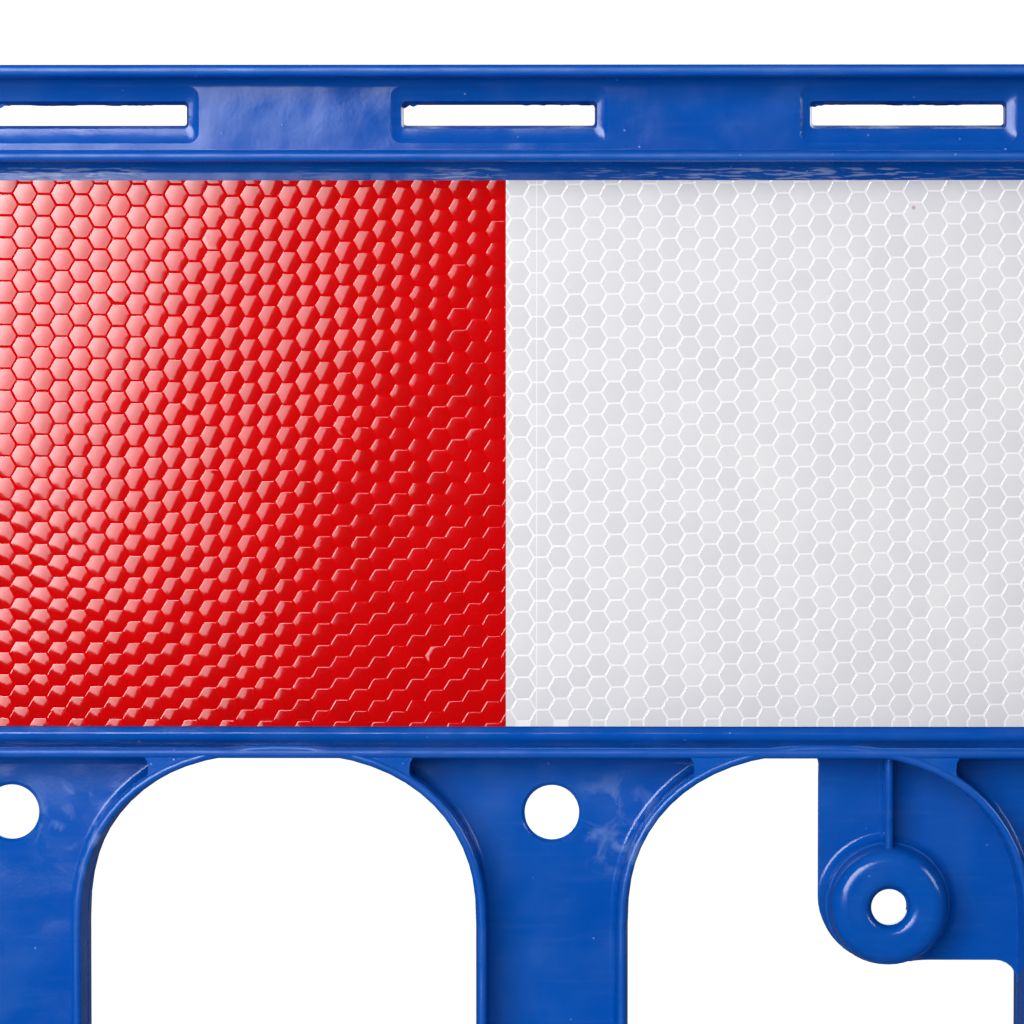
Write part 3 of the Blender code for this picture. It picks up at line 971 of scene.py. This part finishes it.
def make_bolt(side, name, material):
    low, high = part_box(f"{name}_pivot_bolt")
    x = side * FOOT_X
    head_high, thread_low = 0.0164, 0.1865
    head = hexagon("bolt_head", x, low.z, head_high, (True, False))
    profile = [
        (0, head_high - 0.004), (BOLT_RADIUS, head_high - 0.004), (BOLT_RADIUS, thread_low - 0.001),
        (THREAD_ROOT, thread_low), *thread_profile(thread_low, high.z - 0.0015), (0.0066, high.z - 0.0006),
        (0.0062, high.z), (0, high.z),
    ]
    bolt = merge(head, [turned("bolt_shank", profile, x, 40)], "UNION", "EXACT")
    take_over(bolt, f"{name}_bolt", f"{name}_pivot_bolt", "panel", material, 30)


def make_nut(side, name, material):
    low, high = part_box(f"{name}_lock_nut")
    x = side * FOOT_X
    nut = hexagon("lock_nut", x, low.z, low.z + 0.0125, (True, True))
    profile = [
        (0, low.z + 0.010), (0.0105, low.z + 0.010), (0.0105, high.z - 0.0012), (0.0102, high.z - 0.0004),
        (0.0096, high.z), (0, high.z),
    ]
    merge(nut, [turned("nut_collar", profile, x)], "UNION", "EXACT")
    bore = bar("nut_bore", round_outline((x, 0), NUT_BORE), low.z - 0.01, high.z + 0.01, "Z")
    merge(nut, [bore], "DIFFERENCE", "EXACT")
    take_over(nut, f"{name}_nut", f"{name}_lock_nut", "panel", material, 30)


def make_washer(name, node, material, edge):
    """A flat ring whose outer corners are rolled by the press."""
    low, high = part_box(node)
    outer = (high.x - low.x) / 2
    inner = BORE_RADIUS
    profile = [
        (inner, low.z + edge / 2), (inner + edge / 2, low.z), (outer - edge / 2, low.z),
        (outer, low.z + edge / 2), (outer, high.z - edge), (outer - 0.3 * edge, high.z - 0.3 * edge),
        (outer - edge, high.z), (inner + edge / 2, high.z), (inner, high.z - edge / 2),
    ]
    ring = turned(name, profile, (low.x + high.x) / 2, 64, closed=True)
    take_over(ring, name, node, "panel", material, 30)


def foot_top(y):
    """Height of a foot's top along its length."""
    toe, shoulder, end = 0.012, 0.046, 0.280
    reach = min(max((abs(y) - FOOT_FLAT) / (end - FOOT_FLAT), 0), 1)
    return shoulder + (toe - shoulder) * reach


def grip_bars(x, wide):
    """The cross bars on a foot's two slopes."""
    grips = []
    for way in SIDES:
        for k in range(6):
            y = way * (0.100 + 0.026 * k)
            half = wide - 0.014 - 0.004 * max(0, k - 3)
            top = foot_top(y) + 0.0022
            section = [
                (y - 0.0045, top - 0.006), (y + 0.0045, top - 0.006), (y + 0.0032, top), (y - 0.0032, top),
            ]
            grip = bar("grip_bar", section, x - half, x + half)
            apply_modifier(grip, "BEVEL", width=0.0008, segments=2, limit_method="ANGLE")
            grips.append(grip)
    return grips


def foot_block(name, x, wide, long):
    """A foot's body: its plan, kept to its side view, with eased edges."""
    foot = bar(name, rounded_rectangle(x - wide, x + wide, -long, long, 0.030, 8), 0, 0.08, "Z")
    beyond, toe, middle = long + 0.01, foot_top(long), foot_top(0)
    side_view = [
        (-beyond, -0.01), (beyond, -0.01), (beyond, toe), (long, toe), (FOOT_FLAT, middle),
        (-FOOT_FLAT, middle), (-long, toe), (-beyond, toe),
    ]
    merge(foot, [bar("foot_side", side_view, x - 0.1, x + 0.1)], "INTERSECT", "EXACT")
    apply_modifier(foot, "BEVEL", width=0.003, segments=3, limit_method="ANGLE", angle_limit=0.5)
    return foot


def make_foot(side, name, material):
    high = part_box(name)[1]
    x = side * FOOT_X
    wide, long, hub_top = high.x - x, high.y, high.z
    foot = foot_block(name, x, wide, long)
    profile = [
        (0, 0.010), (0.050, 0.010), (0.050, 0.044), (0.0498, 0.0515), (0.0490, 0.0545), (0.0472, 0.0570),
        (0.0448, 0.0581), (0.043, hub_top), (0.031, hub_top), (0.0300, hub_top - 0.0008), (0.0290, hub_top),
        (0, hub_top),
    ]
    grips = join(grip_bars(x, wide))
    merge(foot, [grips, turned("foot_hub", profile, x, 96)], "UNION", "EXACT")
    merge(foot, foot_tools(x, wide, hub_top), "DIFFERENCE", "EXACT")
    take_over(foot, f"{name}_casting", name, f"{name}_body", material, 32)


def foot_tools(x, wide, hub_top):
    """The tools for the bolt's bore and counterbore, and the tread on the underside."""
    bore = bar("bore", round_outline((x, 0), BORE_RADIUS), -0.01, hub_top + 0.01, "Z")
    profile = [(0, -0.01), (0.0225, -0.01), (0.0225, 0), (0.021, 0.0015), (0.021, 0.020), (0, 0.020)]
    counterbore = turned("counterbore", profile, x, 64)
    treads = []
    for way in SIDES:
        for k in range(9):
            y = way * (0.045 + 0.024 * k)
            groove = [(y - 0.004, -0.002), (y + 0.004, -0.002), (y + 0.0024, 0.0028), (y - 0.0024, 0.0028)]
            treads.append(bar("tread", groove, x - wide - 0.01, x + wide + 0.01))
    return [bore, counterbore, join(treads)]


def make_hardware(zinc, nylon, rubber):
    for side, name in zip(SIDES, ("left", "right")):
        make_bolt(side, name, zinc)
        make_nut(side, name, zinc)
        make_washer(f"{name}_bolt_washer", f"{name}_head_washer", zinc, 0.0006)
        make_washer(f"{name}_top_washer", f"{name}_nut_washer", zinc, 0.0006)
        make_washer(f"{name}_slip_washer", f"{name}_thrust_washer", nylon, 0.0008)
        make_foot(side, f"{name}_foot", rubber)


# ---- shader tools ----


def tint(red, green, blue):
    """An 8-bit screen colour as the linear colour that shaders use."""
    def linear(value):
        value /= 255
        return value / 12.92 if value <= 0.04045 else ((value + 0.055) / 1.055) ** 2.4
    return (linear(red), linear(green), linear(blue), 1.0)


def fill_sockets(tree, node, sockets):
    """Gives each named socket of a node its value or its link."""
    for name, value in sockets.items():
        if isinstance(value, bpy.types.NodeSocket):
            tree.links.new(value, node.inputs[name])
        else:
            node.inputs[name].default_value = value
    return node


def add_node(tree, kind, sockets=None, **settings):
    node = tree.nodes.new("ShaderNode" + kind)
    for name, value in settings.items():
        setattr(node, name, value)
    return fill_sockets(tree, node, sockets or {})


def maths(tree, operation, first, second=0.0, clamp=False):
    return add_node(tree, "Math", {0: first, 1: second}, operation=operation, use_clamp=clamp).outputs[0]


def product(tree, mask, *others):
    for other in others:
        mask = maths(tree, "MULTIPLY", mask, other)
    return mask


def spread(tree, value, low, high, to_low=0.0, to_high=1.0):
    """Maps a range to another, eased and clamped."""
    sockets = {"Value": value, "From Min": low, "From Max": high, "To Min": to_low, "To Max": to_high}
    return add_node(tree, "MapRange", sockets, interpolation_type="SMOOTHSTEP").outputs["Result"]


def band(tree, value, rise, fall):
    """A mask that comes on over one range and goes off over another."""
    return product(tree, spread(tree, value, *rise), spread(tree, value, *fall))


def noise(tree, place, scale, detail, distortion=0.0):
    sockets = {"Vector": place, "Scale": scale, "Detail": detail, "Distortion": distortion}
    return add_node(tree, "TexNoise", sockets).outputs["Fac"]


def streaked(tree, place, closeness):
    """A place whose patterns run out into level streaks."""
    sockets = {"Vector": place, "Scale": (1.0, 1.0, closeness)}
    return add_node(tree, "Mapping", sockets).outputs["Vector"]


def mix_colour(tree, factor, first, second):
    return add_node(tree, "Mix", {0: factor, 6: first, 7: second}, data_type="RGBA").outputs[2]


def layered(tree, colour, layers):
    """Lays screen colours over a ground colour, each through its own mask."""
    for mask, over in layers:
        colour = mix_colour(tree, mask, colour, tint(*over))
    return colour


def along(tree, place, axis):
    return add_node(tree, "SeparateXYZ", {"Vector": place}).outputs[axis]


def depth_of(tree, place):
    """How far a point stands from the panel's mid-plane."""
    return maths(tree, "ABSOLUTE", along(tree, place, "Y"))


def attribute(tree, name):
    return add_node(tree, "Attribute", attribute_name=name).outputs["Fac"]


def open_group(name, inputs, output):
    """An effect that several materials share, with named sockets and one output."""
    tree = bpy.data.node_groups.new(name, "ShaderNodeTree")
    tree.interface.new_socket(name="Place", in_out="INPUT", socket_type="NodeSocketVector")
    for socket in inputs:
        tree.interface.new_socket(name=socket, in_out="INPUT", socket_type="NodeSocketFloat")
    tree.interface.new_socket(name=output, in_out="OUTPUT", socket_type="NodeSocketFloat")
    return tree, tree.nodes.new("NodeGroupInput").outputs


def close_group(tree, value):
    tree.links.new(value, tree.nodes.new("NodeGroupOutput").inputs[0])
    return tree


def use_group(tree, group, place, **values):
    """Places a shared effect in a material, and hands on what it puts out."""
    named = {name.replace("_", " ").capitalize(): value for name, value in values.items()}
    return add_node(tree, "Group", {"Place": place, **named}, node_tree=group).outputs[0]


def surface_waves_group():
    """Sink marks and mould grain, as a height."""
    tree, given = open_group("surface_waves", ("Wave scale", "Grain scale", "Grain share"), "Height")
    wave = noise(tree, given["Place"], given["Wave scale"], 1.5)
    grain = noise(tree, given["Place"], given["Grain scale"], 3.0)
    return close_group(tree, maths(tree, "ADD", wave, product(tree, grain, given["Grain share"])))


def edge_wear_group():
    """Where corners are rubbed: the mask follows rounded edges and breaks up."""
    tree, given = open_group("edge_wear", ("Radius", "Break up"), "Mask")
    bevel = add_node(tree, "Bevel", {"Radius": given["Radius"]}, samples=4)
    surface = add_node(tree, "NewGeometry")
    normals = {0: bevel.outputs["Normal"], 1: surface.outputs["Normal"]}
    facing = add_node(tree, "VectorMath", normals, operation="DOT_PRODUCT").outputs["Value"]
    broken = noise(tree, given["Place"], given["Break up"], 4.0)
    return close_group(
        tree, product(tree, spread(tree, facing, 0.995, 0.90), spread(tree, broken, 0.35, 0.65))
    )


def specks_group():
    """Scattered small round marks: dust, pits and bubbles."""
    tree, given = open_group("specks", ("Scale", "Size", "Share"), "Mask")
    cells = add_node(tree, "TexVoronoi", {"Vector": given["Place"], "Scale": given["Scale"]})
    size = product(tree, given["Size"], 1.4)
    gap = maths(tree, "SUBTRACT", size, cells.outputs["Distance"])
    dot = maths(tree, "DIVIDE", gap, given["Size"], clamp=True)
    split = add_node(tree, "SeparateColor", {"Color": cells.outputs["Color"]})
    chosen = maths(tree, "LESS_THAN", split.outputs["Red"], given["Share"])
    return close_group(tree, product(tree, dot, chosen))


def haze_group():
    """Cloudy patches and fine rubbed streaks, as one mask."""
    tree, given = open_group("haze", ("Cloud scale", "Streak scale", "Amount"), "Mask")
    cloud = noise(tree, given["Place"], given["Cloud scale"], 4.0, 0.6)
    streak = noise(tree, streaked(tree, given["Place"], 9.0), given["Streak scale"], 5.0)
    clouds = spread(tree, cloud, 0.46, 0.72)
    streaks = spread(tree, streak, 0.50, 0.74, 0.0, 0.6)
    both = maths(tree, "ADD", clouds, streaks, clamp=True)
    return close_group(tree, product(tree, both, given["Amount"]))


# ---- materials ----


def new_material(name):
    material = bpy.data.materials.new(name)
    material.use_nodes = True
    tree = material.node_tree
    place = tree.nodes.new("ShaderNodeTexCoord").outputs["Object"]
    return material, tree, tree.nodes["Principled BSDF"], place


def bump(tree, height, distance, strength=1.0):
    sockets = {"Height": height, "Distance": distance, "Strength": strength}
    return add_node(tree, "Bump", sockets).outputs["Normal"]


def moulded_blue(groups):
    """Blue polyethylene: soft sheen, flow marks, haze, scuffed fronts and dust, with a painted highlight
    line along the rib fronts, painted reflections beside the strut holes and painted shade in the cove
    under the board.
    """
    material, tree, shader, place = new_material("moulded_blue")
    tone = spread(tree, noise(tree, place, 9.0, 3.0), 0.3, 0.7)
    haze = use_group(tree, groups["haze"], place, cloud_scale=38.0, streak_scale=60.0, amount=0.05)
    wear = use_group(tree, groups["edge_wear"], place, radius=0.0009, break_up=420.0)
    dust = use_group(tree, groups["specks"], place, scale=480.0, size=0.13, share=0.03)
    ground = mix_colour(tree, tone, tint(0, 74, 163), tint(3, 79, 171))
    layers = (
        # painted highlight: the pale line along the rib fronts, in (120, 170, 232)
        (haze, (110, 150, 215)), (painted_front_highlight(tree, place), (120, 170, 232)),
        (product(tree, wear, 0.22), (60, 130, 220)), (paste_marks(tree, place), (176, 190, 220)),
        # painted reflection: pale patches beside the strut holes; painted shade: dark blue in the cove
        # under the board
        (painted_hole_reflections(tree, place), (150, 176, 222)), (painted_cove_shade(tree, place), (4, 34, 96)),
        (product(tree, dust, 0.35), (150, 180, 230)),
    )
    roughness = spread(tree, noise(tree, place, 70.0, 5.0), 0.35, 0.65, 0.13, 0.22)
    scuffed = spread(tree, depth_of(tree, place), 0.01540, 0.01590, 0.0, 0.16)
    waves = use_group(tree, groups["waves"], place, wave_scale=60.0, grain_scale=1100.0, grain_share=0.035)
    height = maths(tree, "ADD", waves, product(tree, dust, 0.08))
    fill_sockets(tree, shader, {
        "Base Color": layered(tree, ground, layers),
        "Roughness": maths(tree, "ADD", roughness, scuffed),
        "Specular IOR Level": 0.20,
        "Normal": bump(tree, height, 0.0008),
    })
    return material


def painted_front_highlight(tree, place):
    """Painted highlight: a pale line along the middle of each rib's rounded front, stronger high up,
    standing in for light reflected off the rounded fronts.
    """
    front = spread(tree, depth_of(tree, place), 0.01578, 0.01597)
    patchy = spread(tree, noise(tree, place, 75.0, 3.0), 0.25, 0.75, 0.02, 0.12)
    high_up = spread(tree, along(tree, place, "Z"), 0.78, 0.97, 0.35, 1.0)
    return product(tree, front, patchy, high_up)


def painted_cove_shade(tree, place):
    """Painted shade: darkens the cove under the board, along the top of its flange."""
    edge = BOARD_FLANGE_TOP
    held = band(tree, depth_of(tree, place), (0.0028, 0.0050), (0.0146, 0.0136))
    height = along(tree, place, "Z")
    low_down = band(tree, height, (edge - 0.0003, edge), (edge + 0.0029, edge + 0.0018))
    broken = spread(tree, noise(tree, place, 26.0, 4.0), 0.30, 0.70, 0.35, 0.85)
    return product(tree, held, low_down, broken)


def painted_hole_reflections(tree, place):
    """Painted reflection: pale cloudy patches beside the strut holes, standing in for the lamp reflected in
    the wavy plastic.
    """
    past_strut = maths(tree, "FLOORED_MODULO", along(tree, place, "X"), PITCH)
    across = maths(tree, "SUBTRACT", past_strut, 0.0175)
    up = maths(tree, "SUBTRACT", along(tree, place, "Z"), HOLE_Z - 0.003)
    squares = maths(tree, "ADD", maths(tree, "POWER", across, 2.0), maths(tree, "POWER", up, 2.0))
    near = spread(tree, maths(tree, "SQRT", squares), 0.017, 0.005)
    return product(tree, near, spread(tree, noise(tree, place, 95.0, 5.0, 1.2), 0.47, 0.66, 0.0, 0.30))


def paste_marks(tree, place):
    """Pale torn streaks of adhesive on the web just above the sheeting."""
    web = spread(tree, depth_of(tree, place), 0.0030, 0.0024)
    strip = band(tree, along(tree, place, "Z"), (0.9685, 0.9692), (0.9735, 0.9718))
    torn = spread(tree, noise(tree, streaked(tree, place, 12.0), 160.0, 6.0), 0.52, 0.60)
    runs = spread(tree, noise(tree, place, 22.0, 2.0), 0.44, 0.60)
    return product(tree, web, strip, torn, runs, 0.42)


def roll_join(tree, place):
    """The faint upright line where two strips of the pattern meet in each white field."""
    across = maths(tree, "ADD", along(tree, place, "X"), FIELD_EDGE)
    from_edge = maths(tree, "FLOORED_MODULO", across, 2 * FIELD_PITCH)
    off_line = maths(tree, "ABSOLUTE", maths(tree, "SUBTRACT", from_edge, 0.0083))
    return spread(tree, off_line, 0.00022, 0.00008, 0.0, 0.7)


def sheeting(name, cell_colours, land_colour, groups, joined=False):
    """Retroreflective film: glossy pillowed cells between dull sealed lands."""
    material, tree, shader, place = new_material(name)
    land = spread(tree, attribute(tree, "land"), 0.25, 0.85)
    faded = spread(tree, noise(tree, place, 30.0, 4.0), 0.45, 0.75, 0.0, 0.18)
    dirt = use_group(tree, groups["specks"], place, scale=160.0, size=0.09, share=0.012)
    dark, light = (tint(*colour) for colour in cell_colours)
    ground = mix_colour(tree, attribute(tree, "cell_tone"), dark, light)
    layers = [(land, land_colour), (faded, land_colour), (product(tree, dirt, 0.8), (170, 40, 30))]
    if joined:
        layers.append((roll_join(tree, place), (240, 240, 242)))
    waves = use_group(tree, groups["waves"], place, wave_scale=260.0, grain_scale=1500.0, grain_share=0.12)
    fill_sockets(tree, shader, {
        "Base Color": layered(tree, ground, layers),
        "Roughness": 0.55,
        "Specular IOR Level": 0.0,
        "Coat Weight": maths(tree, "SUBTRACT", 1.0, land),
        "Coat Roughness": 0.06,
        "Normal": bump(tree, waves, 0.00006),
    })
    return material


def recycled_rubber(groups):
    """Black rubber crumb with a grey bloom, rubbed edges and dusty brown chips."""
    material, tree, shader, place = new_material("recycled_rubber")
    crumb = add_node(tree, "TexVoronoi", {"Vector": place, "Scale": 420.0}).outputs["Distance"]
    haze = use_group(tree, groups["haze"], place, cloud_scale=16.0, streak_scale=40.0, amount=0.35)
    wear = use_group(tree, groups["edge_wear"], place, radius=0.002, break_up=180.0)
    chips = use_group(tree, groups["specks"], place, scale=260.0, size=0.22, share=0.05)
    ground = mix_colour(tree, spread(tree, crumb, 0.1, 0.7), tint(30, 30, 31), tint(44, 43, 43))
    layers = (
        (haze, (92, 90, 86)), (product(tree, wear, 0.5), (100, 97, 92)),
        (product(tree, chips, 0.6), (120, 100, 70)),
    )
    waves = use_group(tree, groups["waves"], place, wave_scale=90.0, grain_scale=900.0, grain_share=0.5)
    fill_sockets(tree, shader, {
        "Base Color": layered(tree, ground, layers),
        "Roughness": spread(tree, haze, 0.0, 0.4, 0.62, 0.85),
        "Normal": bump(tree, waves, 0.0007, 0.8),
    })
    return material


def zinc_plate(groups):
    """Zinc plating: dull bright metal with a yellowish passivate and rubbed corners."""
    material, tree, shader, place = new_material("zinc_plate")
    tone = spread(tree, noise(tree, place, 130.0, 4.0), 0.35, 0.65)
    wear = use_group(tree, groups["edge_wear"], place, radius=0.0005, break_up=900.0)
    haze = use_group(tree, groups["haze"], place, cloud_scale=220.0, streak_scale=400.0, amount=1.0)
    ground = mix_colour(tree, tone, tint(176, 178, 182), tint(198, 196, 186))
    fill_sockets(tree, shader, {
        "Base Color": layered(tree, ground, [(wear, (225, 226, 228))]),
        "Metallic": 1.0,
        "Roughness": spread(tree, haze, 0.0, 1.0, 0.30, 0.52),
    })
    return material


def slip_nylon(groups):
    """Natural nylon: milky, a little glossy, greyed by use."""
    material, tree, shader, place = new_material("slip_nylon")
    haze = use_group(tree, groups["haze"], place, cloud_scale=120.0, streak_scale=300.0, amount=0.5)
    waves = use_group(tree, groups["waves"], place, wave_scale=300.0, grain_scale=2400.0, grain_share=0.3)
    fill_sockets(tree, shader, {
        "Base Color": mix_colour(tree, haze, tint(226, 222, 208), tint(180, 174, 160)),
        "Roughness": 0.38,
        "Subsurface Weight": 0.2,
        "Subsurface Scale": 0.002,
        "Normal": bump(tree, waves, 0.0001),
    })
    return material


# ---- stage ----


def grey(level):
    return (level, level, level, 1)


def add_stage():
    bpy.ops.mesh.primitive_plane_add(size=60, location=(0, 0, 0))
    floor = bpy.context.object
    floor.name = "floor"
    material, tree, shader, _ = new_material("pale_floor")
    path = tree.nodes.new("ShaderNodeLightPath").outputs
    fill_sockets(tree, shader, {
        "Base Color": mix_colour(tree, path["Is Glossy Ray"], grey(0.80), grey(0.10)),
        "Roughness": 0.7,
        "Specular IOR Level": 0.0,
        "Emission Color": grey(1),
        "Emission Strength": product(tree, path["Is Camera Ray"], 0.68),
    })
    floor.data.materials.append(material)


def add_softbox(name, across, up, depth, radiance, roll=0.0):
    """A lit rectangle in front of the panel, facing it, set out by its edges."""
    bpy.ops.object.light_add(type="AREA")
    light = bpy.context.object
    light.name = name
    width, height = across[1] - across[0], up[1] - up[0]
    light.data.shape = "RECTANGLE"
    light.data.size = width
    light.data.size_y = height
    light.data.energy = radiance * math.pi * width * height
    light.visible_camera = False
    place = ((across[0] + across[1]) / 2, -depth, (up[0] + up[1]) / 2)
    aim(light, place, (place[0], 0, place[2]), math.radians(roll))
    return light


def fade_across(light, strongest, reach):
    """Makes a softbox brighter away from its right edge, as its lamp sits off centre."""
    light.data.use_nodes = True
    tree = light.data.node_tree
    place = add_node(tree, "NewGeometry").outputs["Parametric"]
    strength = spread(tree, along(tree, place, "X"), 1.0, reach, 1.0, strongest)
    fill_sockets(tree, tree.nodes["Emission"], {"Strength": strength})


def add_world():
    """An even white room, brighter where the camera sees it and dimmer in reflections."""
    world = bpy.data.worlds.new("studio")
    bpy.context.scene.world = world
    world.use_nodes = True
    tree = world.node_tree
    path = tree.nodes.new("ShaderNodeLightPath").outputs
    seen = product(tree, path["Is Camera Ray"], 0.72)
    mirrored = product(tree, path["Is Glossy Ray"], -0.40)
    strength = maths(tree, "ADD", maths(tree, "ADD", seen, mirrored), 0.45)
    fill_sockets(tree, tree.nodes["Background"], {"Color": grey(1), "Strength": strength})


def add_lights():
    fill = add_softbox("softbox", (-1.45, -0.18), (0.78, 1.95), 1.26, 5.3)
    fill.visible_glossy = False
    sheen = add_softbox("softbox_front", (-1.28, -0.18), (0.93, 1.68), 1.18, 4.6, roll=-24)
    sheen.visible_diffuse = False
    fade_across(sheen, 5.0, 0.64)
    back = add_softbox("back_box", (-1.6, 1.6), (0.1, 2.1), 2.4, 2.2)
    aim(back, (0.6, 2.4, 1.5), (0, 0, 0.6))
    side = add_softbox("side_box", (-0.25, 0.25), (-0.30, 0.30), 0, 11.0)
    side.visible_diffuse = False
    aim(side, (1.05, -0.45, 1.35), (-0.05, 0, 0.77))


def main():
    add_camera()
    groups = {
        "waves": surface_waves_group(),
        "edge_wear": edge_wear_group(),
        "specks": specks_group(),
        "haze": haze_group(),
    }
    blue = moulded_blue(groups)
    red = sheeting("red_sheeting", ((186, 0, 2), (196, 0, 3)), (200, 4, 6), groups)
    white_cells = ((211, 210, 214), (218, 217, 220))
    white = sheeting("white_sheeting", white_cells, (232, 231, 233), groups, joined=True)
    make_moulding(blue)
    make_sheets({"red": red, "white": white})
    make_flash(blue)
    make_hardware(zinc_plate(groups), slip_nylon(groups), recycled_rubber(groups))
    add_stage()
    add_world()
    add_lights()
    bpy.context.scene.view_settings.view_transform = "Standard"


main()
